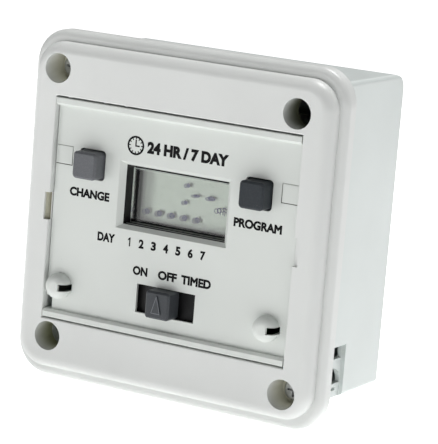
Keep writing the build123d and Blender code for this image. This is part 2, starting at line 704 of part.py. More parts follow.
def earth_terminal():
    """A brass block on the housing's back wall, for the earth wires."""
    post = block(-3.5, 3.5, 34, TOTAL_DEPTH - WALL, 30.5, 37.0)
    post -= Pos(0, FRONT + 37.5, 34) * Rot(0, 90, 0) * Cylinder(1.6, 10)
    return post - rod(0, 33.75, 1.52, 33, 43)


def earth_screw():
    return screw(0, 33.75, 34, 2, 2.3, 1.5, 1.5)


PARTS = {
    "front_cover": front_cover(),
    "rear_housing": rear_housing(),
    "cover_screws": cover_screws(),
    "mounting_rail": mounting_rail(),
    "rail_screws": rail_screws(),
    "rail_clip": rail_clip(),
    "rail_clip_spring": rail_clip_spring(),
    "timer_fascia": timer_fascia(),
    "module_base": module_base(),
    "window_lens": window_lens(),
    "lcd_glass": lcd_glass(),
    "lcd_reflector": lcd_reflector(),
    "lcd_holder": lcd_holder(),
    "contact_strips": contact_strips(),
    "display_board": display_board(),
    "timer_chip": timer_chip(),
    "crystal": crystal(),
    "left_tact_switch": tact_switch(LEFT_KEY_X),
    "right_tact_switch": tact_switch(RIGHT_KEY_X),
    "left_tact_stem": tact_stem(LEFT_KEY_X),
    "right_tact_stem": tact_stem(RIGHT_KEY_X),
    "left_key": key(LEFT_KEY_X),
    "right_key": key(RIGHT_KEY_X),
    "left_key_spring": key_spring(LEFT_KEY_X),
    "right_key_spring": key_spring(RIGHT_KEY_X),
    "mode_knob": mode_knob(),
    "slider_shutter": slider_shutter(),
    "slide_switch_body": slide_switch_body(),
    "slide_switch_actuator": slide_switch_actuator(),
    "power_board": power_board(),
    "board_screws": board_screws(),
    "board_header": board_header(),
    "relay": relay(),
    "backup_cell": backup_cell(),
    "dropper_capacitor": dropper_capacitor(),
    "smoothing_capacitor": smoothing_capacitor(),
    "varistor": varistor(),
    "fuse_resistor": fuse_resistor(),
    "terminal_block": terminal_block(),
    "terminal_clamps": terminal_clamps(),
    "terminal_screws": terminal_screws(),
    "earth_terminal": earth_terminal(),
    "earth_screw": earth_screw(),
}

os.makedirs("parts", exist_ok=True)
for name, shape in PARTS.items():
    if isinstance(shape, list):
        shape = Compound(children=shape)
    export_step(shape, f"parts/{name}.step")
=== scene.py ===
import json
import math

import bpy
from mathutils import Euler, Matrix, Vector


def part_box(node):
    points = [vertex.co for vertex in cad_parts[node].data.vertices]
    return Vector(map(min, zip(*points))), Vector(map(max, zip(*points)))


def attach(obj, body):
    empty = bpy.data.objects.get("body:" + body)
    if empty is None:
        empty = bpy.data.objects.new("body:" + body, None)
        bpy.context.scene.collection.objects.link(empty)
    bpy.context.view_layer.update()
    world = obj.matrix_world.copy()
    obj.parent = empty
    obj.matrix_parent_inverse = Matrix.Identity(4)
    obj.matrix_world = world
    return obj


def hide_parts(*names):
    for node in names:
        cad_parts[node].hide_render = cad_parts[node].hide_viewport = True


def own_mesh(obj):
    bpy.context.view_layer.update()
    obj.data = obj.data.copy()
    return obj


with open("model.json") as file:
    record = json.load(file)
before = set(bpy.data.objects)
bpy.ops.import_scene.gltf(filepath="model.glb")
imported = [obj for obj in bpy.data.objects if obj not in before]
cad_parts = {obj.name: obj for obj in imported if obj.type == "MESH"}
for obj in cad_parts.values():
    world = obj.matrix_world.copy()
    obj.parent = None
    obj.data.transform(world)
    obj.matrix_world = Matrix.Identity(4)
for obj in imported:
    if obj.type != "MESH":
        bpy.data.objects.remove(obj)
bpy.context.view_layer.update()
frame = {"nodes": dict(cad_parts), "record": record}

# Looks of the enclosed timer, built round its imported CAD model. Metres, +X right, +Y to the back,
# +Z up. Sizes are multiplied by MM, and the ones given as plain millimetres say so.

MM = 0.001

# Places that the printing, the display and the camera are set out from.
COVER_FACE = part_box("front_cover")[0].y
FASCIA_RECESS = 1.6 * MM
FASCIA_FACE = COVER_FACE + FASCIA_RECESS
COVER_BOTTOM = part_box("front_cover")[0].z
INK_THICKNESS = 0.02 * MM

# The cover's deep corner wells: how far the axes of the two kinds lie from the middle in x and z,
# the radii between which their painted shade fades out, and the depths over which it sets in.
SCREW_WELL_AT = (35.5 * MM, 35.5 * MM)
FIXING_WELL_AT = (33.3 * MM, 33.5 * MM)
WELL_EDGE = (3.9 * MM, 4.1 * MM)
WELL_SHADE_DEPTHS = (0.3 * MM, 6.5 * MM)
# Over these spans the wells' painted shade changes from left to right and from one diagonal to the other.
SIDE_FADE_X = 10 * MM
DIAGONAL_FADE = 0.0001

# Lowest and highest x and z of the cover's left notch and of the fine outlines beside the keys, with
# the depths over which the painted shade in them sets in and ends.
NOTCH_X = (-38.4 * MM, -35.6 * MM)
NOTCH_Z = (-3.6 * MM, 3.7 * MM)
NOTCH_SHADE_X = (-37.0 * MM, -35.7 * MM)
NOTCH_SHADE_DEPTHS = (0.4 * MM, 1.0 * MM)
KEY_OUTLINE_X = (30.1 * MM, 35.6 * MM)
KEY_OUTLINE_Z = (11.0 * MM, 16.2 * MM)
KEY_OUTLINE_FADE_Z = (11.6 * MM, 15.8 * MM)
KEY_OUTLINE_FRONT = (0.04 * MM, 0.1 * MM)
KEY_OUTLINE_BACK = (0.4 * MM, 0.5 * MM)
SHADE_EDGE = 0.1 * MM

# Captions on the fascia. Each row gives the words, then in plain millimetres the middle's x, how far
# it stands above the row's own height, and the width.
CAPTION_HEIGHT = 2.3 * MM
CAPTION_WEIGHT = 0.05
KEY_CAPTIONS = {
    "print_change": ("CHANGE", -24.5, -1.4, 11.9),
    "print_program": ("PROGRAM", 24.4, -1.6, 13.5),
}
SWITCH_CAPTIONS = {
    "print_on": ("ON", -7.9, 0, 4.3),
    "print_off": ("OFF", 0.1, 0, 5.5),
    "print_timed": ("TIMED", 8.4, 0, 8.6),
}
DAY_ROW_BELOW_DISPLAY = 11.6 * MM
SWITCH_ROW_ABOVE_SLOT = 6.9 * MM

# The row of day numbers, in plain millimetres.
DAY_WORD_X = -18.6
DAY_WORD_WIDTH = 5.2
DAYS = 7
FIRST_DAY_X = -11.75
DAY_PITCH = 3.58
DAY_WIDTH = 1.45

# The heading: a clock sign and the timer's two cycles.
HEADING_ABOVE_DISPLAY = 12.9 * MM
HEADING_WEIGHT = 0.06
CYCLE_X = 3.2 * MM
CYCLE_WIDTH = 23.4 * MM
CYCLE_HEIGHT = 3.1 * MM
CLOCK_X = -11.9 * MM
CLOCK_RADIUS = 2.45 * MM
CLOCK_LINE = 0.5 * MM
HOUR_TICK = (0.95 * MM, 0.48 * MM)
HOUR_TICK_HALF_TURN = 0.012
HOURS = 12
HAND_WIDTH = 0.38 * MM
MINUTE_HAND_RISE = 0.62 * MM
MINUTE_HAND_LENGTH = 1.6 * MM
HOUR_HAND_SHIFT = (0.5 * MM, 0.1 * MM)
HOUR_HAND_LENGTH = 1.25 * MM

# The day dots on the display, from its middle, and how the marks' shadows are shifted.
CRYSTAL_DEPTH = 0.7 * MM
DISPLAY_DOTS = 5
DOT_PITCH = 3.7 * MM
FIRST_DOT = (-11.5 * MM, -4.55 * MM)
DOT_RADIUS = 0.8 * MM
SHADOW_SHIFT = (1.15 * MM, 0.35 * MM)

# The other marks on the display, in plain millimetres from its middle: the colon's two dots and two
# dashes, as x, z, radius and height over width, and then the mode mark's ring, stems and arms.
ROUND_MARKS = (
    (0, 3.84, 0.58, 1.0),
    (-0.45, -0.57, 0.56, 1.0),
    (2.6, 1.58, 0.95, 0.42),
    (6.9, 1.55, 1.1, 0.5),
)
MODE_MARK_Z = -1.1
MODE_RING_X = 9.35
MODE_RING = (0.42, 0.7)
MODE_STEM_XS = (10.5, 11.7)
MODE_STEM = (0.28, 1.9)
MODE_ARMS = ((0.4, -0.3, 0.7, 0.26), (0.35, -1.1, 0.6, 0.26))

# The window's rim and the bead below it, pale strips of painted highlight, and the dark border at the
# display's foot.
RIM_LINE = 0.2 * MM
RIM_TOP_DROP = 0.75 * MM
RIM_SIDE_LINE = 0.06 * MM
RIM_INSET = 0.12 * MM
RIM_THICKNESS = 0.08 * MM
LENS_MARGIN = 0.1 * MM
BEAD_BEHIND_FASCIA = 2.7 * MM
BEAD_RISE = 0.02 * MM
BEAD_HEIGHT = 0.14 * MM
BEAD_THICKNESS = 0.25 * MM
BORDER_RISE = 0.15 * MM
BORDER_HEIGHT = 0.9 * MM

# The raised triangle on the mode knob: half its width, and its foot and top above the knob's middle.
KNOB_MARK_HALF_WIDTH = 1.25 * MM
KNOB_MARK_FOOT = -1.98 * MM
KNOB_MARK_TOP = 2.4 * MM
KNOB_MARK_LINE = 0.2 * MM

# Springs: radius of the wire and number of turns.
KEY_SPRING_WIRE = 0.16 * MM
KEY_SPRING_TURNS = 5.5
CLIP_SPRING_WIRE = 0.2 * MM
CLIP_SPRING_TURNS = 9

# Studio: how the floor glows, the room's own light, and each light's place, size and power.
FLOOR_HALF_SIZE = 4.0
FLOOR_GAP = 0.1 * MM
FLOOR_GLOW = 0.8
ROOM_SEEN = 1.0
ROOM_LIGHT = 0.06
LIGHT_AIM = (0, -0.03, 0)
LIGHTS = {
    "left_light": ((-0.5, -0.62, -0.01), 0.1, 0.48),
    "upper_front_light": ((-0.1, -0.5, 0.65), 0.4, 0.7),
    "top_light": ((0.1, 0.2, 1.0), 0.4, 9.0),
    "back_light": ((0.0, 0.8, 0.7), 0.4, 0.8),
}
CAMERA_AIM = (14.44 * MM, COVER_FACE, 4.04 * MM)
CAMERA_AZIMUTH = 29.25
CAMERA_ELEVATION = 10.53
CAMERA_ROLL = 4.67
CAMERA_DISTANCE = 612.0 * MM
CAMERA_LENS = 202.7
CAMERA_SENSOR = 36.0


def middle(node):
    """The centre of a CAD node's box."""
    low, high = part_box(node)
    return (low + high) / 2


# Node helpers ------------------------------------------------------------------------------


def node(tree, kind, settings=None, **sockets):
    """Adds a shader node. Sockets take a value, or another node's output to link from."""
    made = tree.nodes.new("ShaderNode" + kind)
    for name, value in (settings or {}).items():
        setattr(made, name, value)
    for name, value in sockets.items():
        socket = made.inputs[name.replace("_", " ")]
        if isinstance(value, bpy.types.NodeSocket):
            tree.links.new(value, socket)
        else:
            socket.default_value = value
    return made


def colour(rgb):
    """An sRGB colour of three numbers from 0 to 255, as linear RGBA."""
    linear = [((c / 255 + 0.055) / 1.055) ** 2.4 if c > 10 else c / 255 / 12.92 for c in rgb]
    return (*linear, 1.0)


def spread(tree, value, low, high, start=0.3, end=0.7):
    """Maps a texture's value from start..end to low..high."""
    made = node(tree, "MapRange", Value=value, From_Min=start, From_Max=end, To_Min=low, To_Max=high)
    return made.outputs["Result"]


def mixed(tree, factor, first, second, blend="MIX"):
    """Mixes two colours."""
    made = tree.nodes.new("ShaderNodeMix")
    made.data_type = "RGBA"
    made.blend_type = blend
    for index, value in ((0, factor), (6, first), (7, second)):
        if isinstance(value, bpy.types.NodeSocket):
            tree.links.new(value, made.inputs[index])
        else:
            made.inputs[index].default_value = value
    return made.outputs[2]


def joined(tree, operation, first, second):
    """One value worked out from two others."""
    made = node(tree, "Math", {"operation": operation})
    tree.links.new(first, made.inputs[0])
    tree.links.new(second, made.inputs[1])
    return made.outputs[0]


def times(tree, first, second):
    """The product of two values."""
    return joined(tree, "MULTIPLY", first, second)


def within(tree, value, limits):
    """1 where a value lies between two limits, and 0 elsewhere."""
    low, high = limits
    above = spread(tree, value, 0, 1, low - SHADE_EDGE, low)
    below = spread(tree, value, 1, 0, high, high + SHADE_EDGE)
    return times(tree, above, below)


def place_of(tree):
    """The shaded point's x, y and z in the object's own space."""
    place = node(tree, "SeparateXYZ", Vector=node(tree, "TexCoord").outputs["Object"])
    return [place.outputs[axis] for axis in "XYZ"]


def size_of(tree, value):
    """A value without its sign."""
    return node(tree, "Math", {"operation": "ABSOLUTE"}, Value=value).outputs[0]


def noise(tree, size, detail=2.0, roughness=0.5, stretch=(1, 1, 1)):
    """Noise whose features are about one size, in millimetres, in the object's own space."""
    coords = node(tree, "TexCoord").outputs["Object"]
    if stretch != (1, 1, 1):
        coords = node(tree, "Mapping", Vector=coords, Scale=stretch).outputs["Vector"]
    made = node(tree, "TexNoise", Vector=coords, Scale=1 / (size * MM), Detail=detail, Roughness=roughness)
    return made.outputs["Fac"]


def bumped(tree, height, depth, normal=None):
    """A bump of one depth, in millimetres."""
    made = node(tree, "Bump", Height=height, Distance=depth * MM, Strength=1.0)
    if normal:
        tree.links.new(normal, made.inputs["Normal"])
    return made.outputs["Normal"]


def blank(name):
    """A new material with a Principled shader, as (material, tree, shader)."""
    made = bpy.data.materials.new(name)
    made.use_nodes = True
    tree = made.node_tree
    tree.nodes.clear()
    shader = node(tree, "BsdfPrincipled")
    output = node(tree, "OutputMaterial")
    tree.links.new(shader.outputs[0], output.inputs["Surface"])
    return made, tree, shader


def feed(tree, shader, **sockets):
    """Sets or links inputs of a shader."""
    for name, value in sockets.items():
        socket = shader.inputs[name.replace("_", " ")]
        if isinstance(value, bpy.types.NodeSocket):
            tree.links.new(value, socket)
        else:
            socket.default_value = value


# Materials ---------------------------------------------------------------------------------


def round_well(tree, across, up, axis):
    """1 inside a corner well about one axis, and 0 outside it."""
    place = node(tree, "CombineXYZ", X=across, Y=up).outputs["Vector"]
    gap = node(tree, "VectorMath", {"operation": "DISTANCE"})
    tree.links.new(place, gap.inputs[0])
    gap.inputs[1].default_value = (*axis, 0)
    return spread(tree, gap.outputs["Value"], 1, 0, *WELL_EDGE)


def deeper(tree, y, face, depths):
    """From 0 at the first depth behind a face to 1 at the second."""
    return spread(tree, y, 0, 1, face + depths[0], face + depths[1])


def cover_shading(tree, tone):
    """Paints shade, tinted olive like dust, down the cover's corner wells and into its left notch."""
    x, y, z = place_of(tree)
    across, up = size_of(tree, x), size_of(tree, z)
    screw_well = round_well(tree, across, up, SCREW_WELL_AT)
    fixing_well = round_well(tree, across, up, FIXING_WELL_AT)
    inside = joined(tree, "MAXIMUM", screw_well, fixing_well)
    deep = deeper(tree, y, COVER_FACE, WELL_SHADE_DEPTHS)
    # Painted shade in the wells: olive in the fixing wells and darker to the right, a faint cream in the
    # screw wells.
    to_the_right = spread(tree, x, 0, 1, -SIDE_FADE_X, SIDE_FADE_X)
    fixing_well_shade = mixed(tree, to_the_right, colour((176, 178, 148)), colour((122, 124, 104)))
    on_fixing_diagonal = spread(tree, times(tree, x, z), 0, 1, -DIAGONAL_FADE, DIAGONAL_FADE)
    shade = mixed(tree, on_fixing_diagonal, colour((236, 235, 220)), fixing_well_shade)
    tone = mixed(tree, times(tree, inside, deep), tone, shade)
    # Painted shade in the left notch, darker towards its right.
    notch = times(tree, within(tree, x, NOTCH_X), within(tree, z, NOTCH_Z))
    sunk = deeper(tree, y, COVER_FACE, NOTCH_SHADE_DEPTHS)
    to_the_corner = spread(tree, x, 0, 1, *NOTCH_SHADE_X)
    notch_painted_shade = mixed(tree, to_the_corner, colour((208, 207, 190)), colour((112, 108, 84)))
    return mixed(tree, times(tree, notch, sunk), tone, notch_painted_shade)


def fascia_shading(tree, tone):
    """Paints shade into the fine outlines engraved beside the keys, darkest in their lower lines."""
    x, y, z = place_of(tree)
    across = within(tree, size_of(tree, x), KEY_OUTLINE_X)
    beside_keys = times(tree, across, within(tree, z, KEY_OUTLINE_Z))
    behind_face = deeper(tree, y, FASCIA_FACE, KEY_OUTLINE_FRONT)
    near, far = KEY_OUTLINE_BACK
    before_back = spread(tree, y, 1, 0, FASCIA_FACE + near, FASCIA_FACE + far)
    in_line = times(tree, beside_keys, times(tree, behind_face, before_back))
    # The lower lines get more painted shade than the upper ones.
    lower_line_shade = spread(tree, z, 1, 0.35, *KEY_OUTLINE_FADE_Z)
    return mixed(tree, times(tree, in_line, lower_line_shade), tone, colour((62, 60, 50)))


def moulded(name, rgb, gloss, mottle=0.02, grain=0.003, grain_size=0.35, wave=0.02, specks=0.25,
            shading=None):
    """Moulded plastic: slow tone changes, dust specks, a fine grain and slightly wavy walls."""
    made, tree, shader = blank(name)
    base = colour(rgb)
    darker = tuple(c * (1 - mottle) for c in base[:3]) + (1.0,)
    lighter = tuple(min(1.0, c * (1 + mottle)) for c in base[:3]) + (1.0,)
    tone = mixed(tree, spread(tree, noise(tree, 22, 3), 0, 1), darker, lighter)
    dirt = spread(tree, noise(tree, 0.8, 2), 0, specks, 0.74, 0.80)
    soiled = tuple(c * 0.62 for c in base[:3]) + (1.0,)
    tone = mixed(tree, dirt, tone, soiled)
    if shading:
        tone = shading(tree, tone)
    rubbed = spread(tree, noise(tree, 7, 4, 0.6), gloss - 0.05, gloss + 0.06)
    surface = bumped(tree, noise(tree, grain_size, 2), grain)
    surface = bumped(tree, noise(tree, 14, 1), wave, surface)
    feed(tree, shader, Base_Color=tone, Roughness=rubbed, Normal=surface, IOR=1.5)
    return made


def textured(name, rgb, gloss, grain, grain_size, shine=0.3):
    """Dark moulded plastic with a spark-eroded grain, worn a little lighter on its high spots."""
    made, tree, shader = blank(name)
    base = colour(rgb)
    worn = tuple(min(1.0, c * 1.35 + 0.004) for c in base[:3]) + (1.0,)
    high = spread(tree, noise(tree, grain_size, 3), 0, 0.6, 0.45, 0.7)
    tone = mixed(tree, high, base, worn)
    dust = spread(tree, noise(tree, 1.2, 3), 0, 0.35, 0.7, 0.8)
    tone = mixed(tree, dust, tone, colour((150, 150, 148)))
    surface = bumped(tree, noise(tree, grain_size, 3), grain)
    rubbed = spread(tree, noise(tree, 2.5, 3), gloss - 0.06, gloss + 0.08)
    feed(tree, shader, Base_Color=tone, Roughness=rubbed, Normal=surface, Specular_IOR_Level=shine)
    return made


def metal(name, rgb, rough, streak=(1, 1, 1), tarnish=0.25, scratch=0.002):
    """Plated, drawn or machined metal with tarnish and fine tool marks."""
    made, tree, shader = blank(name)
    base = colour(rgb)
    dull = tuple(c * 0.55 for c in base[:3]) + (1.0,)
    tone = mixed(tree, spread(tree, noise(tree, 2.0, 4), 0, tarnish, 0.45, 0.75), base, dull)
    marks = noise(tree, 0.12, 3, 0.6, streak)
    surface = bumped(tree, marks, scratch)
    rubbed = spread(tree, marks, rough - 0.07, rough + 0.1)
    feed(tree, shader, Base_Color=tone, Roughness=rubbed, Metallic=1.0, Normal=surface)
    return made


def clear(name, tint, haze):
    """Clear sheet: passes light straight through and mirrors more at a low angle."""
    made = bpy.data.materials.new(name)
    made.use_nodes = True
    tree = made.node_tree
    tree.nodes.clear()
    smear = spread(tree, noise(tree, 5, 4), haze, haze + 0.05)
    through = node(tree, "BsdfTransparent", Color=tint)
    mirror = node(tree, "BsdfGlossy", Roughness=smear, Color=(1, 1, 1, 1))
    share = node(tree, "Fresnel", IOR=1.49, Normal=bumped(tree, noise(tree, 9, 1), 0.004))
    mix = node(tree, "MixShader", Fac=share.outputs[0])
    tree.links.new(through.outputs[0], mix.inputs[1])
    tree.links.new(mirror.outputs[0], mix.inputs[2])
    output = node(tree, "OutputMaterial")
    tree.links.new(mix.outputs[0], output.inputs["Surface"])
    return made


def lens_edge():
    """Pale milky colour painted as the light caught along the acrylic window's polished edges."""
    made, tree, shader = blank("lens_edge")
    tone = mixed(tree, noise(tree, 1.5, 3), colour((150, 156, 150)), colour((225, 232, 226)))
    feed(tree, shader, Base_Color=tone, Roughness=0.15, Coat_Weight=0.5)
    return made


def reflector_film():
    """The display's grey-green reflector: a faint pearly grain, with a painted wall shadow in its left
    margin.
    """
    made, tree, shader = blank("reflector_film")
    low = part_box("lcd_reflector")[0]
    grain = spread(tree, noise(tree, 0.3, 2), 0, 1)
    tone = mixed(tree, grain, colour((220, 229, 219)), colour((226, 234, 224)))
    place = node(tree, "SeparateXYZ", Vector=node(tree, "TexCoord").outputs["Object"]).outputs["X"]
    # The left margin is darkened as a painted shadow of the window's left wall.
    edge = low.x + 1.4 * MM
    painted_wall_shadow = spread(tree, place, 1, 0, edge, edge + 2.6 * MM)
    curve = node(tree, "Math", {"operation": "POWER"}, Value=painted_wall_shadow).outputs[0]
    curve.node.inputs[1].default_value = 1.6
    tone = mixed(tree, curve, tone, colour((48, 44, 56)))
    surface = bumped(tree, noise(tree, 0.25, 2), 0.002)
    feed(tree, shader, Base_Color=tone, Roughness=0.36, Metallic=0.7, Normal=surface)
    return made


def printing_ink(name, rgb):
    """Pad-printed ink, with thin spots where the print is light."""
    made, tree, shader = blank(name)
    base = colour(rgb)
    thin = tuple(min(1.0, c * 1.3 + 0.003) for c in base[:3]) + (1.0,)
    tone = mixed(tree, spread(tree, noise(tree, 0.5, 3), 0, 0.8, 0.5, 0.75), base, thin)
    surface = bumped(tree, noise(tree, 0.2, 2), 0.003)
    feed(tree, shader, Base_Color=tone, Roughness=0.6, Normal=surface, Specular_IOR_Level=0.15)
    return made


def circuit_board():
    """Green solder mask over copper tracks, with the glass weave just showing."""
    made, tree, shader = blank("circuit_board")
    coords = node(tree, "TexCoord").outputs["Object"]
    cells = node(tree, "TexVoronoi", {"feature": "DISTANCE_TO_EDGE"}, Vector=coords, Scale=280.0)
    track = spread(tree, cells.outputs["Distance"], 1, 0, 0.05, 0.09)
    tone = mixed(tree, track, colour((28, 74, 42)), colour((52, 116, 62)))
    weave = node(tree, "TexBrick", Vector=coords, Scale=900.0)
    tone = mixed(tree, 0.06, tone, weave.outputs["Color"])
    surface = bumped(tree, track, 0.03)
    feed(tree, shader, Base_Color=tone, Roughness=0.35, Normal=surface, Coat_Weight=0.3)
    return made


def stage_white():
    """The pale, softly lit paper that the object stands on."""
    made, tree, shader = blank("stage_white")
    tone = mixed(tree, noise(tree, 30, 3), colour((246, 247, 247)), colour((250, 250, 250)))
    feed(tree, shader, Base_Color=tone, Roughness=0.9, Emission_Color=(1, 1, 1, 1))
    feed(tree, shader, Emission_Strength=FLOOR_GLOW)
    return made


def slot_materials():
    """One finished material for each of the record's material slots."""
    return {
        "cover_plastic": moulded("cover_plastic", (222, 224, 222), 0.36, shading=cover_shading),
        "housing_plastic": moulded("housing_plastic", (216, 222, 220), 0.33, wave=0.03),
        "fascia_plastic": moulded("fascia_plastic", (219, 223, 219), 0.48, grain=0.004, wave=0.01,
                                  shading=fascia_shading),
        "module_plastic": moulded("module_plastic", (214, 216, 212), 0.5),
        "clip_plastic": moulded("clip_plastic", (176, 178, 176), 0.45),
        "clear_lens": clear("clear_lens", (0.985, 0.992, 0.985, 1), 0.03),
        "display_glass": clear("display_glass", (0.98, 0.988, 0.98, 1), 0.05),
        "reflector_film": reflector_film(),
        "black_plastic": textured("black_plastic", (22, 22, 23), 0.42, 0.004, 0.2),
        # The two key slots are one plastic in a lighter and a darker tone, painted light and shade for how
        # each key is lit.
        "key_plastic_light": textured("key_plastic_light", (97, 99, 103), 0.42, 0.004, 0.22),
        "key_plastic_dark": textured("key_plastic_dark", (56, 60, 64), 0.46, 0.004, 0.22, 0.12),
        "knob_plastic": textured("knob_plastic", (62, 65, 69), 0.42, 0.004, 0.22),
        "elastomer": textured("elastomer", (120, 96, 120), 0.7, 0.01, 0.15),
        "circuit_board": circuit_board(),
        "relay_plastic": moulded("relay_plastic", (42, 78, 160), 0.3),
        "capacitor_case": moulded("capacitor_case", (176, 142, 62), 0.35),
        "varistor_coating": moulded("varistor_coating", (44, 92, 168), 0.4, grain=0.01),
        "resistor_coating": moulded("resistor_coating", (150, 162, 166), 0.6, grain=0.01),
        "bright_can": metal("bright_can", (205, 205, 208), 0.22),
        "rail_steel": metal("rail_steel", (206, 207, 202), 0.3, (1, 12, 12), 0.35, 0.003),
        "zinc_steel": metal("zinc_steel", (196, 198, 198), 0.34, (1, 1, 1), 0.4, 0.004),
        "spring_steel": metal("spring_steel", (170, 170, 174), 0.28, (1, 1, 4)),
        "terminal_brass": metal("terminal_brass", (200, 166, 92), 0.3, (6, 1, 1)),
    }


def paint_nodes(materials):
    """Gives every CAD node the material of its slot in the record."""
    for row in frame["record"]["subparts"]:
        mesh = frame["nodes"][row["node"]].data
        mesh.materials.clear()
        mesh.materials.append(materials[row["material_slot"]])


# Mesh helpers ------------------------------------------------------------------------------


def add_piece(name, mesh, material, body):
    """Links a mesh as a piece that rides on a CAD body."""
    piece = bpy.data.objects.new(name, mesh)
    bpy.context.scene.collection.objects.link(piece)
    mesh.materials.clear()
    mesh.materials.append(material)
    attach(piece, body)
    return piece


def mesh_of(name, corners, faces, smooth=False):
    """A mesh from corner points and faces."""
    mesh = bpy.data.meshes.new(name)
    mesh.from_pydata(corners, [], faces)
    mesh.validate()
    if smooth:
        mesh.shade_smooth()
    return mesh


def prisms(name, outlines, front, thickness):
    """Flat shapes in the XZ plane, each a ring of (x, z), with their faces at front."""
    corners, faces = [], []
    for outline in outlines:
        first, count = len(corners), len(outline)
        corners += [(x, front, z) for x, z in outline]
        corners += [(x, front + thickness, z) for x, z in outline]
        faces.append([first + i for i in range(count)])
        faces.append([first + count + i for i in reversed(range(count))])
        for i in range(count):
            j = (i + 1) % count
            faces.append([first + j, first + i, first + count + i, first + count + j])
    return mesh_of(name, corners, faces)


def disc(x, z, radius, sides=28, squeeze=1.0):
    """A round or oval outline."""
    turns = [2 * math.pi * i / sides for i in range(sides)]
    return [(x + radius * math.cos(t), z + radius * squeeze * math.sin(t)) for t in turns]


def bar(x, z, width, height):
    """A rectangular outline."""
    half, tall = width / 2, height / 2
    return [(x - half, z - tall), (x + half, z - tall), (x + half, z + tall), (x - half, z + tall)]


def ring_sector(x, z, inner, outer, start, end, steps):
    """Outlines of the four-sided pieces that make up part of a ring, from start to end turns."""
    outlines = []
    for i in range(steps):
        a = 2 * math.pi * (start + (end - start) * i / steps)
        b = 2 * math.pi * (start + (end - start) * (i + 1) / steps)
        outlines.append([
            (x + inner * math.cos(a), z + inner * math.sin(a)),
            (x + outer * math.cos(a), z + outer * math.sin(a)),
            (x + outer * math.cos(b), z + outer * math.sin(b)),
            (x + inner * math.cos(b), z + inner * math.sin(b)),
        ])
    return outlines


# Printing ----------------------------------------------------------------------------------


def lettering(name, words, x, z, width, cap_height, material, weight=CAPTION_WEIGHT):
    """Words printed flat on the fascia about a point, in the built-in plain typeface."""
    curve = bpy.data.curves.new(name + "_outline", "FONT")
    curve.body = words
    curve.bevel_depth = weight
    curve.bevel_resolution = 0
    curve.extrude = 0.01
    source = bpy.data.objects.new(name + "_outline", curve)
    bpy.context.scene.collection.objects.link(source)
    bpy.context.view_layer.update()
    mesh = bpy.data.meshes.new_from_object(source)
    bpy.data.objects.remove(source)
    xs = [v.co.x for v in mesh.vertices]
    ys = [v.co.y for v in mesh.vertices]
    across = width / (max(xs) - min(xs))
    up = cap_height / (max(ys) - min(ys))
    left, foot = min(xs), min(ys)
    for vertex in mesh.vertices:
        flat = vertex.co
        back = FASCIA_FACE - INK_THICKNESS if flat.z > 0 else FASCIA_FACE + INK_THICKNESS
        vertex.co = (
            x - width / 2 + (flat.x - left) * across,
            back,
            z - cap_height / 2 + (flat.y - foot) * up,
        )
    mesh.name = name
    return add_piece(name, mesh, material, "enclosure")


def digit_one(x, z, height):
    """The outline of a plain figure one, with a short flag."""
    foot, top = z - height / 2, z + height / 2
    left, stem, right = x - 0.42 * MM, x - 0.02 * MM, x + 0.34 * MM
    return [(stem, foot), (right, foot), (right, top), (x + 0.08 * MM, top),
            (left, top - 0.5 * MM), (left, top - 0.85 * MM), (stem, top - 0.62 * MM)]


def captions(rows, z, ink):
    """Prints a table of captions about one height."""
    for name, (words, x, above, width) in rows.items():
        lettering(name, words, x * MM, z + above * MM, width * MM, CAPTION_HEIGHT, ink)


def fascia_printing(ink):
    """The key and switch captions, and the row of day numbers."""
    display_z = middle("lcd_glass").z
    captions(KEY_CAPTIONS, display_z, ink)
    days_z = display_z - DAY_ROW_BELOW_DISPLAY
    lettering("print_day", "DAY", DAY_WORD_X * MM, days_z, DAY_WORD_WIDTH * MM, CAPTION_HEIGHT, ink)
    for day in range(1, DAYS + 1):
        x = (FIRST_DAY_X + DAY_PITCH * (day - 1)) * MM
        name = f"print_day_{day}"
        if day == 1:
            one = [digit_one(x, days_z, CAPTION_HEIGHT)]
            mesh = prisms(name, one, FASCIA_FACE - INK_THICKNESS, 2 * INK_THICKNESS)
            add_piece(name, mesh, ink, "enclosure")
        else:
            lettering(name, str(day), x, days_z, DAY_WIDTH * MM, CAPTION_HEIGHT, ink)
    captions(SWITCH_CAPTIONS, middle("slider_shutter").z + SWITCH_ROW_ABOVE_SLOT, ink)


def heading(ink):
    """A plain clock sign and the timer's two cycles, above the display."""
    z = middle("lcd_glass").z + HEADING_ABOVE_DISPLAY
    outlines = ring_sector(CLOCK_X, z, CLOCK_RADIUS - CLOCK_LINE, CLOCK_RADIUS, 0, 1, 48)
    for hour in range(HOURS):
        turn = hour / HOURS
        outlines += ring_sector(CLOCK_X, z, CLOCK_RADIUS - HOUR_TICK[0], CLOCK_RADIUS - HOUR_TICK[1],
                                turn - HOUR_TICK_HALF_TURN, turn + HOUR_TICK_HALF_TURN, 1)
    right, down = HOUR_HAND_SHIFT
    outlines.append(bar(CLOCK_X, z + MINUTE_HAND_RISE, HAND_WIDTH, MINUTE_HAND_LENGTH))
    outlines.append(bar(CLOCK_X + right, z - down, HOUR_HAND_LENGTH, HAND_WIDTH))
    mesh = prisms("print_clock", outlines, FASCIA_FACE - INK_THICKNESS, 2 * INK_THICKNESS)
    add_piece("print_clock", mesh, ink, "enclosure")
    lettering("print_cycle", "24 HR / 7 DAY", CYCLE_X, z, CYCLE_WIDTH, CYCLE_HEIGHT, ink, HEADING_WEIGHT)


# Display -----------------------------------------------------------------------------------


